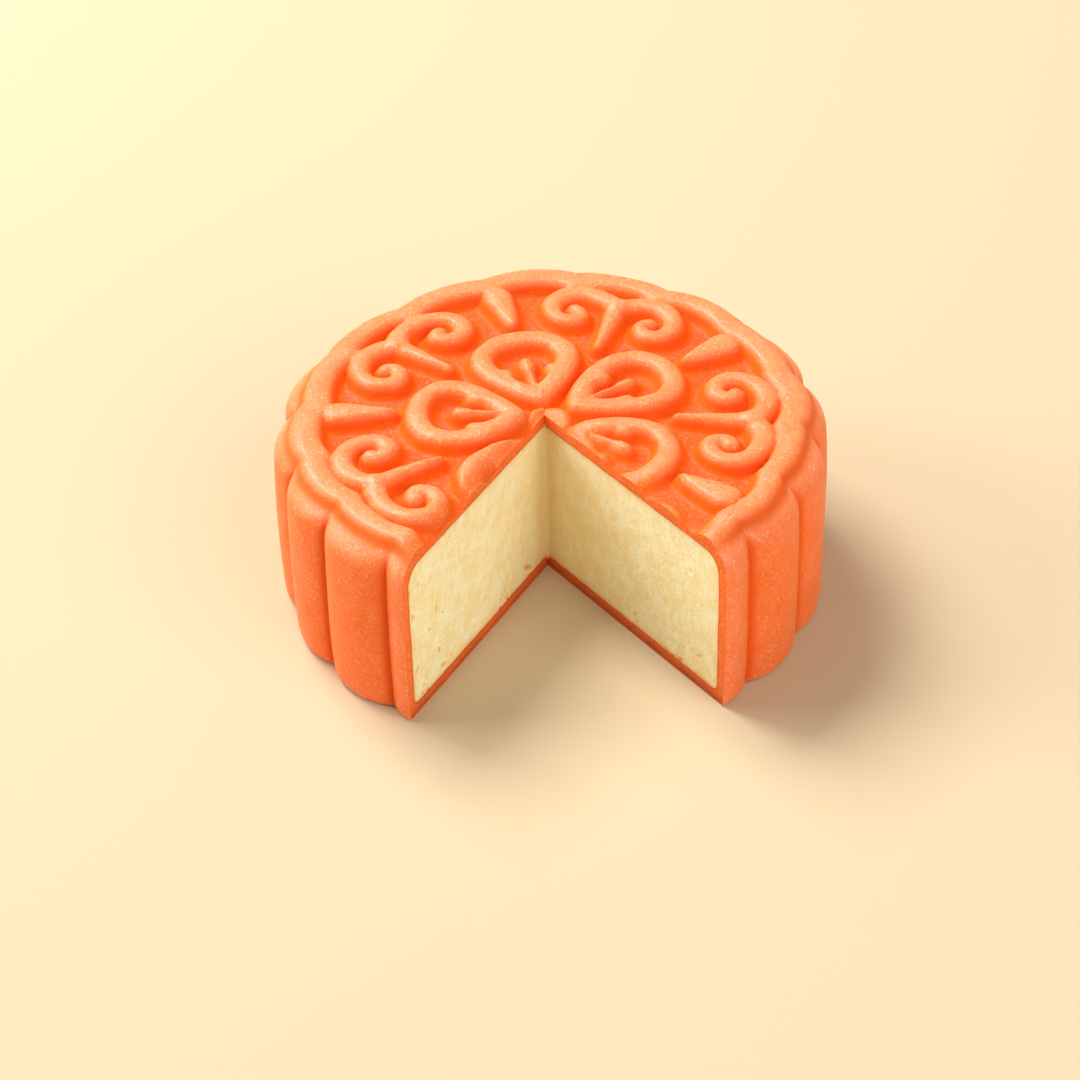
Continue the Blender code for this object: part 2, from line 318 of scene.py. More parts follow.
@dataclass(frozen=True)
class Stroke:
    """One line of the pattern that stands up from the field: evenly spaced points in plan and the half width
    at each.
    """

    points: Array
    widths: Array

    @classmethod
    def along(cls, points: Array, widths: Array, step: float) -> "Stroke":
        """Space a path's points evenly by its run, and carry the half widths along."""
        run = np.concatenate([[0.0], np.cumsum(np.linalg.norm(np.diff(points, axis=0), axis=1))])
        even = np.linspace(0.0, run[-1], max(3, int(run[-1] / step) + 1))
        spaced = np.stack([np.interp(even, run, points[:, axis]) for axis in (0, 1)], axis=1)
        return cls(spaced, np.interp(even, run, widths))

    def inside(self, plan: Array, reach: float) -> Array:
        """Signed depth inside the stroke: its half width less the distance to the nearest piece of its path.

        Args:
            plan: Points, one in each row.
            reach: How far outside the stroke the depth is still worked out.

        Returns:
            The depth at each point, and -reach where the stroke is further off than that.
        """
        margin = self.widths.max() + reach
        low, high = self.points.min(axis=0) - margin, self.points.max(axis=0) + margin
        near = np.flatnonzero(((plan > low) & (plan < high)).all(axis=1))
        start, step = self.points[:-1], np.diff(self.points, axis=0)
        depth = np.full(len(plan), -reach)
        for some in np.array_split(near, max(1, len(near) // POINTS_AT_ONCE)):
            away = plan[some][:, None, :] - start
            along = np.clip((away * step).sum(axis=-1) / (step * step).sum(axis=-1), 0.0, 1.0)
            across = np.linalg.norm(away - along[..., None] * step, axis=-1)
            depth[some] = (self.widths[:-1] + np.diff(self.widths) * along - across).max(axis=1)
        return np.maximum(depth, -reach)


@dataclass(frozen=True)
class PressedPattern:
    """Blossom, cloud scrolls and buds inside a ribbon ring, pressed into the top by the mould."""

    form: CakeForm
    edge: float = 0.0010  # how far in from its side a stroke is at full height
    foot: float = 0.00014  # softness of the crease where it meets the field
    blend: float = 8.0  # higher keeps crossing strokes crisper
    step: float = 0.0003  # between the points of a path
    petals: int = 5
    turn: float = math.radians(12.0)  # of the first petal
    sway: float = 0.0003  # how far the pattern wanders from its true lines
    # radians for each metre of x and of y, and the phase: one wave moves x and one moves y
    sway_waves: tuple[tuple[float, float, float], ...] = ((140.0, 260.0, 0.4), (240.0, -120.0, 1.9))
    ring_radius: float = 0.0282
    ring_dip: float = 0.0008  # behind each groove
    ring_half_width: float = 0.0019
    petal_inner: float = 0.0042
    petal_outer: float = 0.0158
    petal_half_span: float = 0.0062
    petal_half_width: float = 0.00165
    stamen_inner: float = 0.0062
    stamen_outer: float = 0.0108
    stamen_spread: float = math.radians(17.0)
    stamen_half_width: float = 0.0008
    stamen_tip: float = 0.0012
    stamen_shortening: float = 0.12  # the outer two are shorter by this share
    boss_radius: float = 0.0026
    cloud_radius: float = 0.0204
    cloud_half_span: float = 0.0050
    cloud_start: float = math.radians(150.0)
    cloud_sweep: float = math.radians(400.0)
    cloud_winding: float = 2.1  # how fast a curl closes in on its eye
    cloud_half_width: float = 0.00165
    tail_inner: float = 0.0150
    bud_inner: float = 0.0186
    bud_outer: float = 0.0248
    bud_half_width: float = 0.0022
    fold_reach: float = 0.0012  # a stroke is worked out to this far outside it
    crease_shade_widths: tuple[float, float] = (0.00035, 0.0006)  # painted shade of the crease, its width inside and outside a stroke
    edge_wander: float = 0.00011  # unevenness of the strokes' sides
    dome: float = 0.12  # share of its height that a stroke gains towards its middle,
    dome_depth: float = 0.0019  # over this depth

    def petal(self) -> Path:
        """Closed teardrop: half span times sin t times out^0.45 aside, where out = (1 - cos t) / 2."""
        t = np.linspace(0.0, FULL_TURN, 90)
        out = (1.0 - np.cos(t)) / 2.0
        aside = self.petal_half_span * np.sin(t) * out ** 0.45
        along = self.petal_inner + (self.petal_outer - self.petal_inner) * out
        return np.stack([aside, along], axis=1), np.full(len(t), self.petal_half_width)

    @staticmethod
    def straight(start: float, end: float, turn: float = 0.0) -> Path:
        """Points of a straight path away from the cake's middle, and the share of the way at each."""
        t = np.linspace(0.0, 1.0, 20)
        away = start + (end - start) * t
        return np.stack([-math.sin(turn) * away, math.cos(turn) * away], axis=1), t

    def stamen(self, turn: float, outer: float) -> Path:
        """Thin straight stroke inside a petal, with a bead at its end."""
        points, t = self.straight(self.stamen_inner, outer, turn)
        swell = self.stamen_tip - self.stamen_half_width
        return points, self.stamen_half_width + swell * smoothstep(0.55, 0.9, t)

    def cloud_curl(self, side: float) -> Path:
        """Spiral round a scroll's eye that thins by a fifth: its radius falls as exp(-winding t)."""
        t = np.linspace(0.0, 1.0, 80)
        angle = self.cloud_start - self.cloud_sweep * t
        curl = self.cloud_half_span / abs(math.cos(self.cloud_start)) * np.exp(-self.cloud_winding * t)
        points = np.stack([side * (self.cloud_half_span + curl * np.cos(angle)),
                           self.cloud_radius + curl * np.sin(angle)], axis=1)
        return points, self.cloud_half_width * (1.0 - 0.2 * t)

    def cloud_tail(self) -> Path:
        """Stroke from the peak where two curls meet, tapering to half its width between two petals."""
        peak = self.cloud_radius + self.cloud_half_span * math.tan(math.pi - self.cloud_start)
        points, t = self.straight(peak, self.tail_inner)
        return points, self.cloud_half_width * (1.0 - 0.5 * t)

    def bud(self) -> Path:
        """Solid teardrop pointed towards the blossom: its half width grows as 0.3 + 0.7 t^0.6."""
        points, t = self.straight(self.bud_inner, self.bud_outer)
        return points, self.bud_half_width * (0.3 + 0.7 * t ** 0.6)

    def ring(self) -> Path:
        """Ribbon along the rim that dips in behind each groove of the wall and swells a little four times."""
        t = np.linspace(-math.pi, math.pi, 721)
        radius = self.ring_radius - self.ring_dip * self.form.flute_drop(t) / self.form.flute_depth
        points = np.stack([-np.sin(t) * radius, np.cos(t) * radius], axis=1)
        return points, self.ring_half_width * (1.0 + 0.08 * np.sin(4.0 * t + 1.0))

    def boss(self) -> Path:
        """Round button in the middle of the blossom."""
        return np.array([[-0.0001, 0.0], [0.0, 0.0], [0.0001, 0.0]]), np.full(3, self.boss_radius)

    def strokes(self) -> list[Stroke]:
        """The ring and the boss, then each petal with its bud and stamens, and the scroll beside it."""
        paths = [self.ring(), self.boss()]
        for number in range(self.petals):
            on_petal = self.turn + FULL_TURN * number / self.petals
            between = on_petal + math.pi / self.petals
            stamens = [self.stamen(side * self.stamen_spread,
                                   self.stamen_outer * (1.0 - self.stamen_shortening * abs(side)))
                       for side in (-1.0, 0.0, 1.0)]
            for path in (self.petal(), self.bud(), *stamens):
                paths.append(self.turned(path, on_petal))
            for path in (self.cloud_tail(), self.cloud_curl(-1.0), self.cloud_curl(1.0)):
                paths.append(self.turned(path, between))
        return [Stroke.along(points, widths, self.step) for points, widths in paths]

    @staticmethod
    def turned(path: Path, turn: float) -> Path:
        """Turn a path about the middle of the cake."""
        c, s = math.cos(turn), math.sin(turn)
        return path[0] @ np.array([[c, s], [-s, c]]), path[1]

    def relief(self, plan: Array) -> tuple[Array, Array]:
        """Work out the pattern over a grid of plan points.

        The profile of a stroke is a quarter ellipse from its side to the edge width in, with a soft foot:
        height = top * sqrt(1 - (1 - share)^2), where share = foot * log(1 + exp(depth / foot)) / edge. The
        top domes a little towards a wide stroke's middle, and noise on the depth makes the sides uneven.
        Strokes that meet are blended by a power sum.

        Args:
            plan: Plan points about the cake's own axis.

        Returns:
            The height over the sunken field, and how near each point lies to the foot of a stroke, 0 to 1,
            which the skin paints as shade.
        """
        flat = plan.reshape(-1, 2)
        swayed = np.stack([flat[:, axis] + self.sway * np.sin(by_x * flat[:, 0] + by_y * flat[:, 1] + phase)
                           for axis, (by_x, by_y, phase) in enumerate(self.sway_waves)], axis=1)
        wander = self.edge_wander * Unevenness.STROKE_SIDES.at(lifted(flat, 0.0))
        total = np.zeros(len(flat))
        deepest = np.full(len(flat), -self.fold_reach)
        for stroke in self.strokes():
            depth = stroke.inside(swayed, self.fold_reach) + wander
            share = np.minimum(self.foot * np.logaddexp(0.0, depth / self.foot) / self.edge, 1.0)
            crown = 1.0 - self.dome * (1.0 - smoothstep(0.0, self.dome_depth, depth))
            total += (self.form.stroke_height * crown * np.sqrt(1.0 - (1.0 - share) ** 2)) ** self.blend
            deepest = np.maximum(deepest, depth)
        # nearness to a stroke's foot, painted as shade in the crease
        foot = bell(deepest, np.where(deepest > 0.0, *self.crease_shade_widths))
        return (total ** (1.0 / self.blend)).reshape(plan.shape[:-1]), foot.reshape(plan.shape[:-1])


# ---- meshes grown row by row

class RowMesh:
    """A mesh grown as rows of points, whose neighbouring rows may have equal, halved or doubled counts."""

    def __init__(self) -> None:
        """Start with no points and no faces."""
        self.points: list[Array] = []
        self.faces: list[Array] = []
        self.values: dict[str, list[Array]] = {}
        self.count = 0

    def add(self, points: Array, **values: Array | float) -> Array:
        """Add points.

        Args:
            points: Places, one in each row.
            **values: Named values that the finish reads, one for each point or one for all.

        Returns:
            The numbers of the new points in the mesh.
        """
        for name, value in values.items():
            self.values.setdefault(name, []).append(np.broadcast_to(np.asarray(value, float), len(points)))
        self.points.append(points)
        self.count += len(points)
        return np.arange(self.count - len(points), self.count)

    def join(self, first: Array, second: Array) -> None:
        """Span two rows of point numbers with faces that look to the left of the way from first to second.

        Equal rows give quads. A row of one point is a pole and gives a fan. Where one row has a point on
        every second point of the other, each step of the coarse row gives three triangles.
        """
        if len(first) == 1 or len(second) == 1:
            fine = max(first, second, key=len)
            pole = np.repeat(min(first, second, key=len), len(fine) - 1)
            ends = [fine[:-1], fine[1:]] if len(first) == 1 else [fine[1:], fine[:-1]]
            self.faces.append(np.stack([pole, *ends], axis=1))
        elif len(first) == len(second):
            self.faces.append(np.stack([first[:-1], second[:-1], second[1:], first[1:]], axis=1))
        else:
            fine, coarse = max(first, second, key=len), min(first, second, key=len)
            left, middle, right = fine[:-1:2], fine[1::2], fine[2::2]
            order = 1 if fine is first else -1
            for triangle in ((left, coarse[:-1], middle), (middle, coarse[:-1], coarse[1:]),
                             (middle, coarse[1:], right)):
                self.faces.append(np.stack(triangle[::order], axis=1))

    def span(self, grid: Sequence[Array]) -> None:
        """Join each row of a grid of point numbers to the next."""
        for first, second in zip(grid[:-1], grid[1:]):
            self.join(first, second)

    def close(self, rim: Array) -> None:
        """Close a flat hole whose rim is given in the order that its face runs."""
        self.faces.append(rim[None, :])

    def build(self, name: str, placement: Placement) -> bpy.types.Object:
        """Make the object.

        Args:
            name: Name of the piece.
            placement: Where the cake stands in the frame.

        Returns:
            An object at the origin, with its place in its mesh.
        """
        mesh = bpy.data.meshes.new(name)
        points = placement.put(np.concatenate(self.points))
        faces = [face for block in self.faces for face in block.tolist()]
        mesh.from_pydata(points.tolist(), [], faces)
        for label, blocks in self.values.items():
            layer = mesh.attributes.new(label, "FLOAT", "POINT")
            layer.data.foreach_set("value", np.concatenate(blocks).astype(np.float32))
        mesh.validate(verbose=False)
        mesh.shade_smooth()
        mesh.set_sharp_from_angle(angle=SHARP_ANGLE)
        return add_object(name, mesh)


class CutSide(Enum):
    """The two ends of every row: column number of the cut face, and which way its faces run."""

    RIGHT = (0, 1)
    LEFT = (-1, -1)

    @property
    def column(self) -> int:
        """Column of the points on this cut face."""
        return self.value[0]

    @property
    def order(self) -> int:
        """1 where a grid from outside to inside already looks out of the cut, or -1 where it is turned."""
        return self.value[1]


# ---- shader maths

class Expr:
    """A number in a shader tree. Python's operators on it add the Math nodes that work it out."""

    def __init__(self, tree: "ShaderTree", socket: Socket) -> None:
        """Wrap an output socket that carries a number."""
        self.tree = tree
        self.socket = socket

    def math(self, operation: str, *others: "Expr | float", first: "Expr | float | None" = None) -> "Expr":
        """Add a Math node.

        Args:
            operation: The node's operation.
            *others: Values after this one.
            first: Value that stands before this one instead, for the reflected operators.

        Returns:
            The node's result.
        """
        values = [self, *others] if first is None else [first, self]
        node = self.tree.add("ShaderNodeMath", dict(enumerate(values)), operation=operation)
        return Expr(self.tree, node.outputs[0])

    def __add__(self, other: "Expr | float") -> "Expr":
        """Sum."""
        return self.math("ADD", other)

    def __sub__(self, other: "Expr | float") -> "Expr":
        """Difference."""
        return self.math("SUBTRACT", other)

    def __rsub__(self, other: float) -> "Expr":
        """Difference from a plain number."""
        return self.math("SUBTRACT", first=other)

    def __mul__(self, other: "Expr | float") -> "Expr":
        """Product."""
        return self.math("MULTIPLY", other)

    __radd__ = __add__
    __rmul__ = __mul__

    def clamp(self) -> "Expr":
        """Keep the number between 0 and 1."""
        node = self.tree.add("ShaderNodeClamp", {"Value": self, "Min": 0.0, "Max": 1.0})
        return Expr(self.tree, node.outputs[0])

    def rise(self, low: float, high: float) -> "Expr":
        """Smooth rise from 0 at low to 1 at high, or a fall where low is the higher one."""
        node = self.tree.add("ShaderNodeMapRange", {"Value": self, "From Min": low, "From Max": high},
                             interpolation_type="SMOOTHSTEP")
        return Expr(self.tree, node.outputs[0])


class ShaderTree:
    """A material's node tree round its Principled shader, on the piece's own coordinates and attributes."""

    def __init__(self, name: str) -> None:
        """Make the material and take hold of its shader."""
        self.material = bpy.data.materials.new(name)
        self.material.use_nodes = True
        self.tree = self.material.node_tree
        self.shader = self.tree.nodes["Principled BSDF"]
        self.place = self.add("ShaderNodeTexCoord", {}).outputs["Object"]

    def add(self, kind: str, sockets: dict[str | int, Any], **settings: Any) -> bpy.types.Node:
        """Add a node.

        Args:
            kind: The node's type.
            sockets: Values or links of its inputs, by name or number.
            **settings: The node's own settings, which are set first.

        Returns:
            The node.
        """
        node = self.tree.nodes.new(kind)
        for name, value in settings.items():
            setattr(node, name, value)
        for name, value in sockets.items():
            self.feed(node.inputs[name], value)
        return node

    def feed(self, socket: Socket, value: Any) -> None:
        """Link a value to an input, or set it there where it is plain."""
        if isinstance(value, Expr):
            value = value.socket
        if isinstance(value, Socket):
            self.tree.links.new(value, socket)
        else:
            socket.default_value = value

    def set(self, **values: Any) -> None:
        """Set or link inputs of the shader, with _ for a space in their names."""
        for name, value in values.items():
            self.feed(self.shader.inputs[name.replace("_", " ")], value)

    def attribute(self, name: str) -> Expr:
        """A named value of the mesh."""
        node = self.add("ShaderNodeAttribute", {}, attribute_name=name)
        return Expr(self, node.outputs["Fac"])

    def stretched(self, stretch: tuple[float, float, float]) -> Socket:
        """Object coordinates scaled along each axis: below 1 draws a pattern out along that axis."""
        node = self.add("ShaderNodeMapping", {"Vector": self.place, "Scale": stretch})
        return node.outputs[0]

    def noise(self, size: float, detail: float = 2.0, roughness: float = 0.5,
              place: Socket | None = None) -> Expr:
        """Soft noise from 0 to 1 with features of about the given size in metres."""
        node = self.add("ShaderNodeTexNoise", {"Vector": place or self.place, "Scale": 1.0 / size,
                                               "Detail": detail, "Roughness": roughness})
        return Expr(self, node.outputs["Fac"])

    def cells(self, size: float) -> tuple[Expr, Expr]:
        """Scattered cells of the given size: distance from each one's middle, and a number for each."""
        node = self.add("ShaderNodeTexVoronoi", {"Vector": self.place, "Scale": 1.0 / size})
        number = self.add("ShaderNodeSeparateColor", {"Color": node.outputs["Color"]})
        return Expr(self, node.outputs["Distance"]), Expr(self, number.outputs[0])

    def mix(self, share: Expr, first: Any, second: Any) -> Socket:
        """Blend two colours: the first where the share is 0, the second where it is 1."""
        node = self.add("ShaderNodeMix", {}, data_type="RGBA")
        self.feed(node.inputs[0], share)
        for socket, value in zip(node.inputs[6:8], (first, second)):
            self.feed(socket, (*value, 1.0) if isinstance(value, tuple) else value)
        return node.outputs[2]

    def bump(self, height: Expr, depth: float, strength: float) -> Socket:
        """Surface normals of a relief whose full height is the given depth in metres."""
        node = self.add("ShaderNodeBump", {"Height": height, "Distance": depth, "Strength": strength})
        return node.outputs[0]


# ---- finishes

@dataclass(frozen=True)
class DoughFinish:
    """Snow skin dough: satin orange, a painted peach highlight on the strokes, red between them, painted
    shade deep in the folds, pale grains with painted glints.
    """

    body: Color = (0.92, 0.140, 0.004)
    # peach painted highlight on stroke tops, the rim, the wall and the shoulder
    highlight_peach: Color = (1.0, 0.258, 0.103)
    field: Color = (0.70, 0.066, 0.018)
    # deep orange: painted shade in creases and grooves, also used for dark grains
    deep: Color = (0.76, 0.092, 0.0002)
    cut: Color = (0.93, 0.165, 0.02)
    # painted shade low on the cut band, and a darker brown near its top
    burnt: Color = (0.36, 0.060, 0.015)
    # pale grains, with painted glints where the specks fall
    grain: Color = (1.0, 0.54, 0.36)
    mottle_size: float = 3.0 * MM
    grain_size: float = 0.34 * MM
    speck_and_glint_size: float = 0.46 * MM
    relief_depth: float = 0.11 * MM
    roughness: float = 0.5

    def make(self) -> bpy.types.Material:
        """Build the material from the skin's values for painted highlight, painted shade, the cut and the cut
        band's painted shade and dark top, and from its own noises.
        """
        tree = ShaderTree("orange_dough")
        # the first value paints a highlight on stroke tops, rim, wall, shoulder and beside the cuts; the
        # second paints shade in creases and grooves; the fourth paints shade low on the cut band and a darker
        # brown near its top
        crest, fold, cut, burnt = (tree.attribute(name) for name in ("crest", "fold", "cut", "burnt"))
        mottle = tree.noise(self.mottle_size, 3.0)
        grain = tree.noise(self.grain_size, 3.0, 0.6)
        distance, number = tree.cells(self.speck_and_glint_size)
        patches = tree.noise(self.mottle_size * 0.5, 2.0).rise(0.35, 0.65)
        # pale specks, partly grain and partly painted glints, thickest where the painted highlight is
        specks_and_glints = distance.rise(0.42, 0.15) * number.rise(0.5, 0.8) * (patches * 0.35 + crest * 0.65)
        # painted highlight: peach where the highlight value is high, broken by mottle
        color = tree.mix((crest * 0.9 + (mottle - 0.5) * 0.9).clamp(), self.body, self.highlight_peach)
        color = tree.mix((0.6 - crest * 2.4 - fold * 0.6).clamp(), color, self.field)
        color = tree.mix(cut * 0.8, color, self.cut)
        # painted shade in the creases at the strokes' feet and in the wall's grooves
        color = tree.mix((fold * (0.75 + (mottle - 0.5) * 0.6)).clamp(), color, self.deep)
        # pale grain and painted glints, kept out of the painted shade
        grain_and_glints = ((specks_and_glints * 0.75 + (grain - 0.5) * 1.2) * (1.0 - fold * 1.4)).clamp()
        color = tree.mix(grain_and_glints, color, self.grain)
        color = tree.mix(((0.47 - grain) * 2.0 * (1.0 - fold)).clamp(), color, self.deep)
        # painted shade low on the cut band, and a darker brown near its top
        color = tree.mix((burnt * (0.85 + (mottle - 0.5) * 0.8)).clamp(), color, self.burnt)
        relief = grain * 0.8 + specks_and_glints * 0.4 + mottle * 0.6
        tree.set(Base_Color=color, Roughness=self.roughness + (grain - 0.5) * 0.4, Metallic=0.0, IOR=1.14,
                 Normal=tree.bump(relief, self.relief_depth, 0.9),
                 Coat_Weight=((1.0 - fold * 1.2) * (0.18 + crest * 0.45)).clamp(), Coat_Roughness=0.4,
                 Subsurface_Weight=0.35, Subsurface_Radius=(1.0, 0.45, 0.1),
                 Subsurface_Scale=0.9 * MM)
        return tree.material


@dataclass(frozen=True)
class PasteFinish:
    """Pale filling: matt and fine, with soft upright streaks, ochre pits and painted shade in the inner
    corner.
    """

    body: Color = (0.92, 0.785, 0.41)
    pale: Color = (0.97, 0.92, 0.66)
    ochre: Color = (0.84, 0.50, 0.13)
    # painted shade in the inner corner
    corner: Color = (0.82, 0.60, 0.26)
    tear: Color = (0.80, 0.29, 0.03)
    stain: Color = (0.90, 0.36, 0.10)
    streak_size: float = 0.7 * MM
    cloud_size: float = 2.2 * MM
    crumb_size: float = 0.35 * MM
    relief_depth: float = 0.12 * MM

    def make(self) -> bpy.types.Material:
        """Build the material from the cut's pit, painted corner shade and rim values and its own noises."""
        tree = ShaderTree("pale_filling")
        pit, corner, rim = (tree.attribute(name) for name in ("pit", "corner", "rim"))
        streaks = tree.noise(self.streak_size, 3.0, 0.55, tree.stretched((1.0, 1.0, 0.45)))
        clouds = tree.noise(self.cloud_size, 2.0)
        crumb = tree.noise(self.crumb_size, 3.0, 0.6)
        fleck = (streaks - 0.5) * 1.8 + (clouds - 0.5) * 2.6 + (crumb - 0.5) * 2.4
        color = tree.mix((fleck + 0.5).clamp(), self.body, self.pale)
        # painted shade in the inner corner
        color = tree.mix((corner * 0.8).clamp(), color, self.corner)
        torn = (pit * 1.1 + (crumb - 0.5) * 1.3).rise(0.15, 1.1) * 0.95
        color = tree.mix((torn + crumb.rise(0.44, 0.28) * 0.3).clamp(), color, self.ochre)
        color = tree.mix(((pit - 0.4) * 0.8).clamp(), color, self.tear)
        color = tree.mix((rim * 0.85).clamp(), color, self.stain)
        relief = crumb + streaks * 0.5
        tree.set(Base_Color=color, Roughness=0.78 + (crumb - 0.5) * 0.3, Metallic=0.0, IOR=1.4,
                 Normal=tree.bump(relief, self.relief_depth, 0.7),
                 Subsurface_Weight=0.3, Subsurface_Radius=(1.0, 0.7, 0.3), Subsurface_Scale=0.9 * MM)
        return tree.material


@dataclass(frozen=True)
class FloorFinish:
    """Plain pale cream floor."""

    color: Color = (0.60, 0.49, 0.33)

    def make(self) -> bpy.types.Material:
        """Build a matt material of one colour."""
        tree = ShaderTree("floor")
        tree.set(Base_Color=(*self.color, 1.0), Roughness=0.9)
        return tree.material


# ---- skin

@dataclass(frozen=True)
class ShellRow:
    """One row round the skin: its outside and the part of its inside that lies behind it."""

    inset: Array
    level: float
    facing: float  # which way the outside looks: 0 up, a quarter turn outwards, a half turn down
    inner_inset: Array
    inner_level: float
    stride: int  # every so many columns carry a point


@dataclass
class SkinPiece:
    """The pressed and fluted skin, as one closed shell with its two cut bands."""

    form: CakeForm
    pattern: PressedPattern
    placement: Placement
    finish: DoughFinish = field(default_factory=DoughFinish)
    steps_per_flute: int = 40
    column_multiple: int = 8
    inner_stride: int = 8
    centre_reach: float = 4.0 * MM  # out to here every fourth column is kept
    middle_reach: float = 12.0 * MM  # and out to here every second one
    top_spacing: float = 0.25 * MM
    shoulder_rows: int = 20
    wall_rows: int = 28
    corner_rows: int = 6
    base_rows: int = 5
    band_rows: int = 5  # steps across the cut band
    wall_draw: float = 0.22 * MM  # the wall draws in by this at its top and foot
    lump_depth: float = 0.16 * MM
    ripple_depth: float = 0.035 * MM
    drag_width: float = 0.5 * MM  # the knife pulls the edges in within this
    drag_depth: float = 0.28 * MM
    drag_share: float = 0.5  # and lowers the strokes there by this share,
    drag_reach: tuple[float, float] = (2.2 * MM, 1.1 * MM)  # further on the right
    press_change: float = 0.08  # share by which the strokes differ in height
    crease_depth: float = 0.16 * MM  # the grooves are creased deeper than the flutes meet
    crease_width: float = 0.45 * MM
    groove_shade: float = 0.8 * MM
    crest_power: float = 1.6  # higher keeps the strokes' sides freer of the painted highlight
    rim_crest: float = 0.5  # the rim and the wall get the strokes' painted highlight by these shares
    wall_crest: float = 0.35
    shoulder_highlight: float = 0.5  # the shoulder gets more painted highlight by this share
    cut_side_highlight: float = 0.4  # and so does the wall beside the cuts
    cut_side_highlight_width: float = 3.0 * MM
    inner_wander: float = 0.14 * MM
    burnt_low: float = 0.1 * MM  # the cut band gets painted shade below this
    burnt_high: float = 2.0 * MM  # and no more above this,
    burnt_top: float = 0.4  # and a darker brown by this share towards the top

    def shell_rows(self, turn: Array) -> list[ShellRow]:
        """Lay out the rows from the middle of the top, over the shoulder and down the wall, to the base.

        The outside and the inside share each row's parameter: the share of the way out on the top, of the
        way down on the wall and of the way in on the base, and the angle on the two roundings, where the
        inset follows the sine and the level the cosine of a quarter ellipse.
        """
        form = self.form
        length, drop, wall = form.ray_length(turn), form.flute_drop(turn), form.skin_inset(turn)
        shoulder, under = form.filling_shoulder, form.inside_high - form.filling_shoulder
        corner, over = form.base_rounding, form.skin_base + form.base_rounding
        reach = form.radius - form.shoulder_width
        rows = []
        for away in np.linspace(0.0, reach, int(reach / self.top_spacing) + 1):
            share = away / reach
            stride = 4 if away < self.centre_reach else 2 if away < self.middle_reach else 1
            rows.append(ShellRow(length + (form.shoulder_width - length) * share, form.rim_height, 0.0,
                                 length + (wall + shoulder - length) * share, form.inside_high, stride))
        for angle in np.linspace(0.0, QUARTER_TURN, self.shoulder_rows + 1)[1:]:
            sine, fall = math.sin(angle), 1.0 - math.cos(angle)
            inset = form.shoulder_width + (drop + self.wall_draw - form.shoulder_width) * sine
            rows.append(ShellRow(inset, form.rim_height - form.shoulder_drop * fall, angle,
                                 wall + shoulder * (1.0 - sine), form.inside_high - shoulder * fall, 1))
        for share in np.linspace(0.0, 1.0, self.wall_rows + 1)[1:]:
            inset = drop + self.wall_draw * abs(2.0 * share - 1.0) ** 3
            rows.append(ShellRow(inset, form.wall_top + (form.base_rounding - form.wall_top) * share,
                                 QUARTER_TURN, wall, under + (over - under) * share, 1))
        foot = drop + self.wall_draw
        for angle in np.linspace(0.0, QUARTER_TURN, self.corner_rows + 1)[1:]:
            sink, turn_in = 1.0 - math.sin(angle), 1.0 - math.cos(angle)
            rows.append(ShellRow(foot + form.base_rounding * turn_in, form.base_rounding * sink,
                                 QUARTER_TURN + angle, wall + corner * turn_in,
                                 form.skin_base + corner * sink, 2))
        foot = foot + form.base_rounding
        for share in np.linspace(0.0, 1.0, self.base_rows + 1)[1:]:
            rows.append(ShellRow(foot + (length - foot) * share, 0.0, math.pi,
                                 wall + corner + (length - wall - corner) * share, form.skin_base, 4))
        return rows

    def outside(self, turn: Array, rows: list[ShellRow]) -> tuple[Array, dict[str, Array]]:
        """Work out the outside and what its finish reads.

        Args:
            turn: Turns of the columns.
            rows: Rows of the shell.

        Returns:
            Points as rows by columns by 3, and the painted highlight and painted shade values of each.
        """
        form = self.form
        inset = np.stack([row.inset for row in rows])
        level = np.repeat([[row.level] for row in rows], len(turn), axis=1)
        facing = np.array([[row.facing] for row in rows])
        up, out = np.cos(facing), np.sin(facing)
        plan = form.on_rays(turn, inset)
        here = lifted(plan, level)
        lumps, ripples = (0.5 + 0.5 * noise.at(here) for noise in (Unevenness.LUMPS, Unevenness.RIPPLES))
        drag = bell(form.cut_distance(plan), self.drag_width)
        crease = bell(form.groove_distance(turn), self.crease_width) * out
        push = (-self.lump_depth * lumps - self.ripple_depth * ripples - self.drag_depth * drag
                - self.crease_depth * crease)
        push = push * (facing < math.pi * 0.75)     # the base and the lower half of its rounding stay true
        plan = form.on_rays(turn, inset - push * out)

        near_top = np.array([row.level for row in rows]) > form.wall_top
        height, foot = np.zeros(inset.shape), np.zeros(inset.shape)
        height[near_top], foot[near_top] = self.pattern.relief(plan[near_top])
        rim = smoothstep(form.field_radius, form.field_radius + form.rim_rise, np.linalg.norm(plan, axis=-1))
        width = np.where(plan[..., 0] > form.slice_point[0], *self.drag_reach)
        dragged = 1.0 - self.drag_share * bell(form.cut_distance(plan), width)
        uneven = Unevenness.PRESSING.at(here) - 0.5
        pressed = height * dragged * (1.0 + self.press_change * uneven)
        relief = (pressed * (1.0 - rim * form.field_depth / form.stroke_height)
                  - form.field_depth * (1.0 - rim))
        level = level + push * up + np.where(near_top[:, None], relief, 0.0)

        # painted shade along each groove of the wall
        groove = bell(form.groove_distance(turn), self.groove_shade) * out ** 2
        by_cut = bell(form.cut_distance(plan), self.cut_side_highlight_width)
        # painted highlight: on up-facing stroke tops by their height, on the rim, over the wall, on the
        # shoulder and beside the cuts
        crest = (pressed.clip(0.0) / form.stroke_height) ** self.crest_power
        crest = np.maximum(crest, self.rim_crest * rim) * up ** 2 + self.wall_crest * out ** 2
        crest = crest + self.shoulder_highlight * (2.0 * up * out) ** 2 + self.cut_side_highlight * by_cut * out ** 2
        # painted shade at the foot of the strokes and in the grooves
        fold = np.maximum(foot * dragged * np.clip(up, 0.0, 1.0), groove)
        return lifted(plan, level), {"crest": crest, "fold": fold}

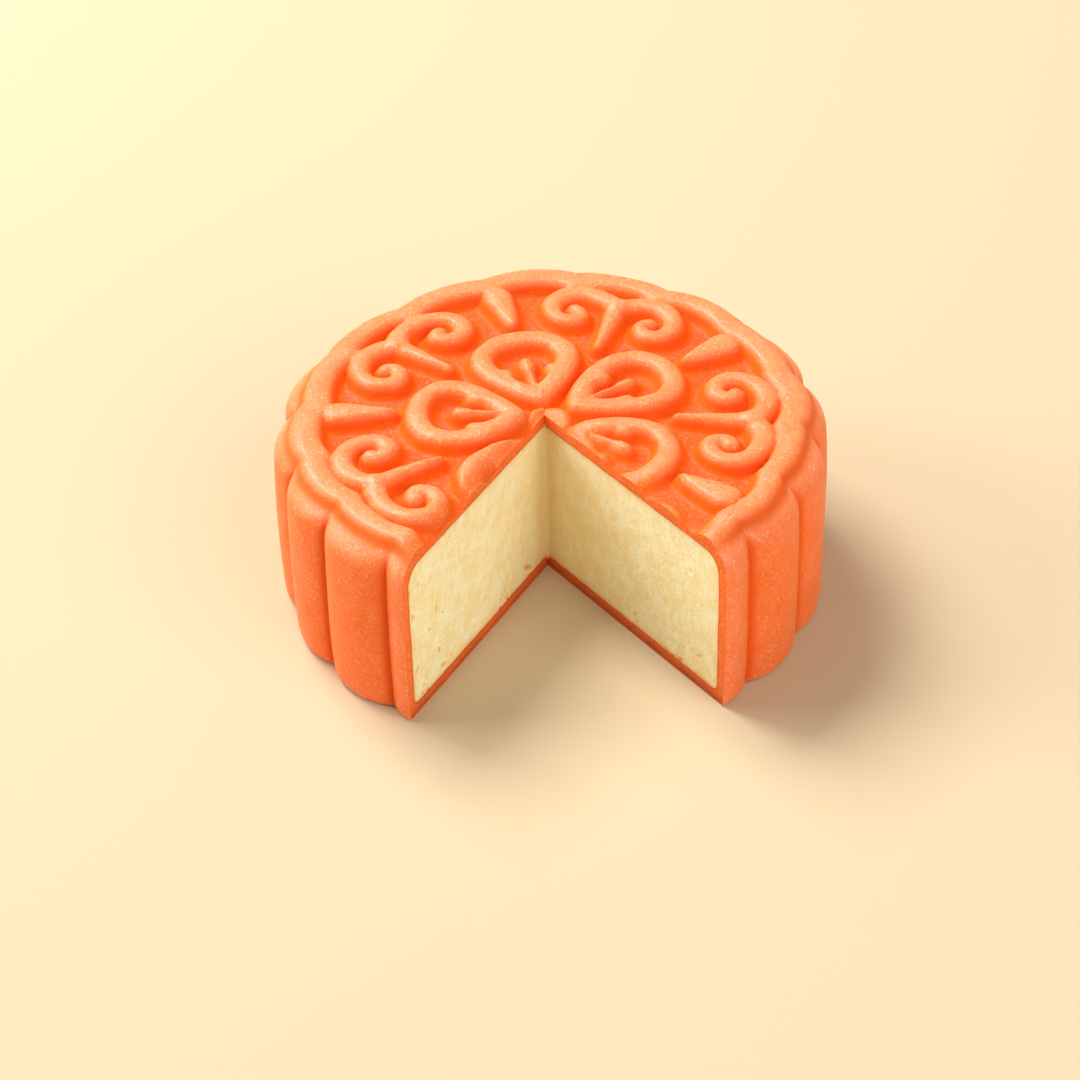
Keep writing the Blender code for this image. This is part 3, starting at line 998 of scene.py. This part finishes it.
    def inside(self, turn: Array, rows: list[ShellRow]) -> Array:
        """Points of the inside, whose wall wanders a little as dough pressed by hand does."""
        inset = np.stack([row.inner_inset for row in rows])
        level = np.repeat([[row.inner_level] for row in rows], len(turn), axis=1)
        facing = np.array([[row.facing] for row in rows])
        wander = self.inner_wander * Unevenness.INSIDE.at(lifted(self.form.on_rays(turn, inset), level))
        plan = self.form.on_rays(turn, inset + wander * np.sin(facing))
        return lifted(plan, level - wander * np.cos(facing))

    def build(self) -> bpy.types.Object:
        """Grow the shell, dress it and set it in the place of the frame's skin."""
        turn = self.form.turns(self.steps_per_flute, self.column_multiple)
        rows = self.shell_rows(turn)
        outside, values = self.outside(turn, rows)
        inner_rows = [replace(row, inner_inset=row.inner_inset[::self.inner_stride]) for row in rows]
        inside = self.inside(turn[::self.inner_stride], inner_rows)
        mesh = RowMesh()
        outer, inner = [], []
        poles = (0, len(rows) - 1)
        for number, row in enumerate(rows):
            kept = slice(0, 1) if number in poles else slice(None, None, row.stride)
            outer.append(mesh.add(outside[number, kept], cut=0.0, burnt=0.0,
                                  **{name: value[number, kept] for name, value in values.items()}))
        for number, points in enumerate(inside):
            kept = slice(0, 1) if number in poles else slice(None)
            inner.append(mesh.add(points[kept], crest=0.3, fold=0.3, cut=1.0, burnt=0.6))
        mesh.span(outer)
        mesh.span(inner[::-1])
        self.add_cut_bands(mesh, outer, inner)
        piece = mesh.build("snow_skin", self.placement)
        piece.data.materials.append(self.finish.make())
        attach(piece, BODY)
        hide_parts(SKIN_NODE)
        return piece

    def add_cut_bands(self, mesh: RowMesh, outer: list[Array], inner: list[Array]) -> None:
        """Join outside and inside along both cuts: points stand at even shares of the way across.

        Args:
            mesh: The mesh that is being grown.
            outer: Point numbers of the outside, row by row.
            inner: Point numbers of the inside, row by row.
        """
        points = np.concatenate(mesh.points)
        shares = np.linspace(0.0, 1.0, self.band_rows + 1)[1:-1]
        poles = {}
        for side in CutSide:
            grid = []
            for number, (outer_row, inner_row) in enumerate(zip(outer, inner)):
                start, end = outer_row[side.column], inner_row[side.column]
                if number in poles:
                    between = poles[number]
                else:
                    across = points[start] + shares[:, None] * (points[end] - points[start])
                    # painted shade at the base, and a darker brown a little towards the top, more so beside
                    # the filling
                    low = 1.0 - smoothstep(self.burnt_low, self.burnt_high, across[:, 2])
                    high = smoothstep(self.form.wall_top, self.form.height, across[:, 2])
                    burnt = low + self.burnt_top * (high * smoothstep(-0.4, 1.0, shares))
                    between = mesh.add(across, crest=0.3, fold=0.0, cut=1.0, burnt=burnt)
                if number in (0, len(outer) - 1):
                    poles[number] = between
                grid.append(np.concatenate([[start], between, [end]])[::-side.order])
            mesh.span(grid)


# ---- filling

@dataclass
class FillingPiece:
    """The filling: a closed body whose two cut faces meet in a soft inner corner."""

    form: CakeForm
    placement: Placement
    finish: PasteFinish = field(default_factory=PasteFinish)
    steps_per_flute: int = 6
    face_steps: int = 160  # along each cut face
    corner_rows: int = 8
    wall_rows: int = 72
    shoulder_rows: int = 24
    lap: float = 0.3 * MM  # how far the filling reaches into the skin
    recess: float = 0.07 * MM  # how far its faces lie behind the skin's cut bands
    corner_softness: float = 0.22 * MM
    drag_depth: float = 0.03 * MM
    drag_stretch: tuple[float, float, float] = (1.0, 1.0, 0.2)  # the marks run upright
    wave_depth: float = 0.06 * MM
    crumb_depth: float = 0.09 * MM
    pit_count: int = 110
    pit_depth: float = 0.2 * MM
    pit_growth: tuple[float, float] = (1.05, 0.7)  # they are larger and deeper on the left face
    pit_ragged: float = 0.12 * MM  # how far their rims wander
    pit_seed: int = 7
    corner_shades: tuple[tuple[float, float], ...] = ((0.7, 2.4 * MM), (0.3, 14.0 * MM))  # share, width
    stain_width: float = 0.32 * MM

    def levels(self) -> tuple[Array, Array]:
        """Levels of the rows from the top down, and how far each lies inside the wall.

        The top rounding has the filling's shoulder as its radius and the foot that of the base, both grown by
        the lap: inset = radius * (1 - sin a) and height = radius * (1 - cos a).
        """
        form = self.form
        high, low = form.inside_high + self.lap, form.skin_base - self.lap
        round_top, round_foot = form.filling_shoulder + self.lap, form.base_rounding + self.lap
        top = np.linspace(0.0, QUARTER_TURN, self.shoulder_rows + 1)
        foot = np.linspace(0.0, QUARTER_TURN, self.corner_rows + 1)[1:]
        wall = np.linspace(high - round_top, low + round_foot, self.wall_rows + 1)[1:]
        level = np.concatenate([high - round_top * (1.0 - np.cos(top)), wall,
                                low + round_foot * (1.0 - np.sin(foot))])
        inset = np.concatenate([round_top * (1.0 - np.sin(top)), np.zeros(len(wall)),
                                round_foot * (1.0 - np.cos(foot))])
        return level, inset

    def pits(self, along: Array, level: Array) -> Array:
        """Depth of pits and small tears in the cut faces, as a share of the deepest.

        Each is a leaning bell, exp(-(x^2 + z^2)^1.5) in its own half width and half height, on a face whose
        points are first moved by noise, which tears its rim. Most lie low or towards the wall, where a
        knife lifts the paste.
        """
        flat = lifted(np.stack([along, level], axis=-1), 0.0)
        along = along + self.pit_ragged * Unevenness.TEAR_ASIDE.at(flat)
        level = level + self.pit_ragged * Unevenness.TEAR_UPRIGHT.at(flat)
        rng = np.random.default_rng(self.pit_seed)
        form, count = self.form, self.pit_count
        reach = form.radius - form.skin_thickness
        tall = form.inside_high - form.skin_base
        is_low = rng.random(count) < 0.6
        x = reach * np.where(is_low, 0.08 + 0.9 * rng.random(count), 1.0 - 0.3 * rng.random(count) ** 1.5)
        z = form.skin_base + tall * np.where(is_low, 0.3 * rng.random(count) ** 1.6, rng.random(count))
        x *= np.where(rng.random(count) < 0.5, -1.0, 1.0)
        wide = (0.12 + 0.28 * rng.random(count) ** 3.0) * MM
        growth = np.where(x > 0.0, *self.pit_growth)
        wide *= growth
        high = wide * (0.9 + 2.0 * rng.random(count))
        lean = rng.normal(0.0, 0.9, count)
        deep = growth * (0.25 + 0.75 * rng.random(count))
        depth = np.zeros(along.shape)
        for cx, cz, w, h, turn, share in zip(x, z, wide, high, lean, deep):
            dx, dz = along - cx, level - cz
            aside = (dx * math.cos(turn) + dz * math.sin(turn)) / w
            upright = (dz * math.cos(turn) - dx * math.sin(turn)) / h
            depth = np.maximum(depth, share * np.exp(-(aside ** 2 + upright ** 2) ** 1.5))
        return depth

    def cut_faces(self, level: Array, inset: Array) -> tuple[Array, dict[str, Array]]:
        """Work out both cut faces as one grid from the left end to the right end.

        In plan a face point is slice point + left heading * soft(u) + right heading * soft(-u), where u runs
        from the left reach to minus the right reach and soft(u) = s * log(1 + exp(u / s)), which rounds the
        inner corner. It is then moved into the paste by the recess, the crumb, the drag marks and the pits.
        """
        form = self.form
        ends = np.array([form.reach, -form.reach])
        reach = (form.ray_length(ends) - form.skin_inset(ends) + self.lap)[None, :] - inset[:, None]
        share = np.linspace(1.0, -1.0, 2 * self.face_steps + 1)
        along = np.where(share > 0.0, reach[:, :1] * share, reach[:, 1:] * share)
        height = np.repeat(level[:, None], len(share), axis=1)
        right, left = form.cut_headings()
        soft = self.corner_softness
        plan = (np.array(form.slice_point)
                + (soft * np.logaddexp(0.0, along / soft))[..., None] * left
                + (soft * np.logaddexp(0.0, -along / soft))[..., None] * right)
        to_left = (0.5 + 0.5 * np.tanh(along / (2.0 * soft)))[..., None]
        into = (to_left * np.array([left[1], -left[0]]) + (1.0 - to_left) * np.array([-right[1], right[0]]))
        into /= np.linalg.norm(into, axis=-1, keepdims=True)
        here = lifted(plan, height)
        crumb, wave = Unevenness.CRUMB.at(here), Unevenness.WAVES.at(here)
        drag = Unevenness.DRAG.at(here * self.drag_stretch)
        pit = self.pits(along, height)
        depth = (self.recess + self.crumb_depth * (0.4 + 0.6 * crumb) + self.drag_depth * (0.5 + 0.5 * drag)
                 + self.wave_depth * (0.5 + 0.5 * wave) + self.pit_depth * pit)
        plan = plan + depth[..., None] * into
        to_wall = np.where(share > 0.0, reach[:, :1], reach[:, 1:]) - self.lap - np.abs(along)
        to_edge = np.minimum(np.minimum(to_wall, height - form.skin_base), form.inside_high - height)
        stain = np.exp(-np.maximum(to_edge, 0.0) / self.stain_width)
        # painted shade in the inner corner: strong at the apex, fading along both faces
        corner = sum(share * bell(along, width) for share, width in self.corner_shades)
        values = {"pit": pit ** 0.6, "corner": corner, "rim": stain}
        return lifted(plan, height), values

    def build(self) -> bpy.types.Object:
        """Grow the filling, dress it and set it in the place of the frame's filling."""
        form = self.form
        level, inset = self.levels()
        faces, values = self.cut_faces(level, inset)
        turn = form.turns(self.steps_per_flute, 1)[1:-1]
        wall = form.skin_inset(turn) - self.lap
        mesh = RowMesh()
        rings = []
        for number, height in enumerate(level):
            back = lifted(form.on_rays(turn, wall + inset[number]), height)
            shell = mesh.add(back, pit=0.0, corner=0.0, rim=1.0)
            cut = mesh.add(faces[number], **{name: value[number] for name, value in values.items()})
            rings.append(np.concatenate([shell, cut, shell[:1]]))
        mesh.span(rings)
        mesh.close(rings[0][:-1])
        mesh.close(rings[-1][-2::-1])
        piece = mesh.build("bean_paste", self.placement)
        piece.data.materials.append(self.finish.make())
        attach(piece, BODY)
        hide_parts(FILLING_NODE)
        return piece


# ---- studio

@dataclass(frozen=True)
class Lamp:
    """A square soft light that looks at the cake from a side and a height."""

    name: str
    azimuth: float  # degrees from -Y towards +X
    elevation: float
    distance: float
    size: float
    power: float
    color: Color = (1.0, 0.96, 0.90)

    def place(self) -> None:
        """Add the light."""
        light = bpy.data.lights.new(self.name, "AREA")
        light.size, light.energy, light.color = self.size, self.power, self.color
        lamp = add_object(self.name, light)
        side, height = math.radians(self.azimuth), math.radians(self.elevation)
        way = Vector((math.sin(side), -math.cos(side), math.tan(height))).normalized()
        lamp.location = way * self.distance
        lamp.rotation_euler = way.to_track_quat("Z", "Y").to_euler()


@dataclass(frozen=True)
class Studio:
    """Pale floor, soft surroundings and three lamps."""

    floor_size: float = 4.0
    world_color: Color = (1.0, 0.93, 0.75)
    world_strength: float = 0.33
    view_transform: str = "Standard"
    lamps: tuple[Lamp, ...] = (
        Lamp("key", -140.0, 52.0, 0.9, 0.45, 10.5),
        Lamp("side", -100.0, 28.0, 1.0, 0.45, 4.8),
        Lamp("fill", 38.0, 34.0, 1.0, 0.8, 5.9),
    )

    def build(self) -> None:
        """Add the floor, the world and the lamps."""
        half = self.floor_size / 2.0
        mesh = bpy.data.meshes.new("floor")
        mesh.from_pydata([(-half, -half, 0.0), (half, -half, 0.0), (half, half, 0.0), (-half, half, 0.0)],
                         [], [(0, 1, 2, 3)])
        mesh.materials.append(FloorFinish().make())
        floor = add_object("floor", mesh)
        world = bpy.data.worlds.new("soft_room")
        world.use_nodes = True
        backdrop = world.node_tree.nodes["Background"]
        backdrop.inputs["Color"].default_value = (*self.world_color, 1.0)
        backdrop.inputs["Strength"].default_value = self.world_strength
        bpy.context.scene.world = world
        bpy.context.scene.view_settings.view_transform = self.view_transform
        for lamp in self.lamps:
            lamp.place()


@dataclass(frozen=True)
class CameraView:
    """Camera that looks down at the cake's cut side, a little off its line and leaning a little."""

    azimuth: float = math.radians(-2.0)
    elevation: float = math.radians(38.58)
    roll: float = math.radians(-1.545)
    distance: float = 0.37773
    lens: float = 106.76
    sensor: float = 36.0
    aside: float = 1.46 * MM  # the cake's middle stands this far right of the view's middle
    above: float = 5.21 * MM  # and this far above it

    def build(self, target: Vector) -> None:
        """Add the camera.

        Args:
            target: The middle of the cake in the frame.
        """
        turn, rise = self.azimuth, self.elevation
        back = Vector((math.sin(turn) * math.cos(rise), -math.cos(turn) * math.cos(rise), math.sin(rise)))
        level_right = Vector((math.cos(turn), math.sin(turn), 0.0))
        level_up = back.cross(level_right)
        right = level_right * math.cos(self.roll) + level_up * math.sin(self.roll)
        up = level_up * math.cos(self.roll) - level_right * math.sin(self.roll)
        place = target + back * self.distance - right * self.aside - up * self.above
        axes = Matrix((right, up, back)).transposed().to_4x4()
        data = bpy.data.cameras.new("camera")
        data.lens, data.sensor_width = self.lens, self.sensor
        data.clip_start, data.clip_end = 0.01, 20.0
        camera = add_object("camera", data)
        camera.matrix_world = Matrix.Translation(place) @ axes
        bpy.context.scene.camera = camera


def main() -> None:
    """Build the cake's pieces and the studio."""
    logging.basicConfig(level=logging.INFO, format="%(message)s")
    form = CakeForm()
    placement = Placement.of(form)
    for builder in (SkinPiece(form, PressedPattern(form), placement), FillingPiece(form, placement)):
        piece = builder.build()
        mesh = piece.data
        mesh.calc_loop_triangles()
        log.info("%s: %d points, %d triangles", piece.name, len(mesh.vertices), len(mesh.loop_triangles))
    Studio().build()
    CameraView().build(Vector(placement.shift) + Vector((0.0, 0.0, form.rim_height / 2.0)))


if __name__ == "__main__":
    main()
